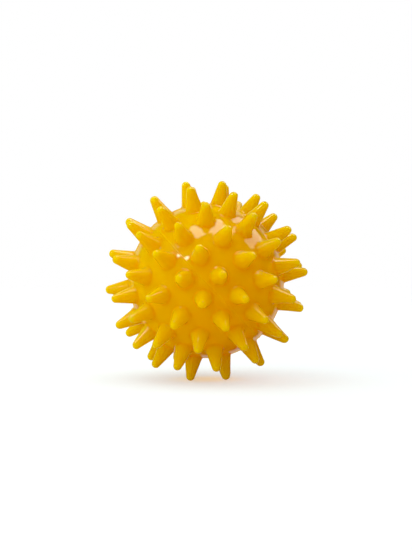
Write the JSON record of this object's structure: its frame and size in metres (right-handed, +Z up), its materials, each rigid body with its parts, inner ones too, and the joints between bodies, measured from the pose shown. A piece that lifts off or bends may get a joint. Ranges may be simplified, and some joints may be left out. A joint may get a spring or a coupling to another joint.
{
  "type": "sensory ball",
  "caption": "Soft hollow spiky sensory ball of two welded moulded halves with blunt cone spikes in rows, and a push-in air plug in a bush at one pole.",
  "frame": {"origin": "centre of the ball", "axes": "+Z up as the ball lies on four spike tips, -Y towards the picture's viewer; the ball's own axis, through the valve, leans 46.9 degrees from +Z towards +X"},
  "size_m": [0.0795, 0.0788, 0.0783],
  "materials": {
    "moulded_skin": "glossy golden-yellow soft PVC, slightly see-through",
    "valve": "satin pale yellow soft PVC"
  },
  "bodies": {
    "ball": {"upper_half": "moulded_skin", "lower_half": "moulded_skin", "valve_bush": "valve"},
    "plug": {"valve_plug": "valve"}
  },
  "joints": [
    {"name": "plug_pull", "type": "slide", "parent": "ball", "child": "plug", "axis": [0.7302, 0, 0.6833], "range_m": [0, 0.012]}
  ]
}
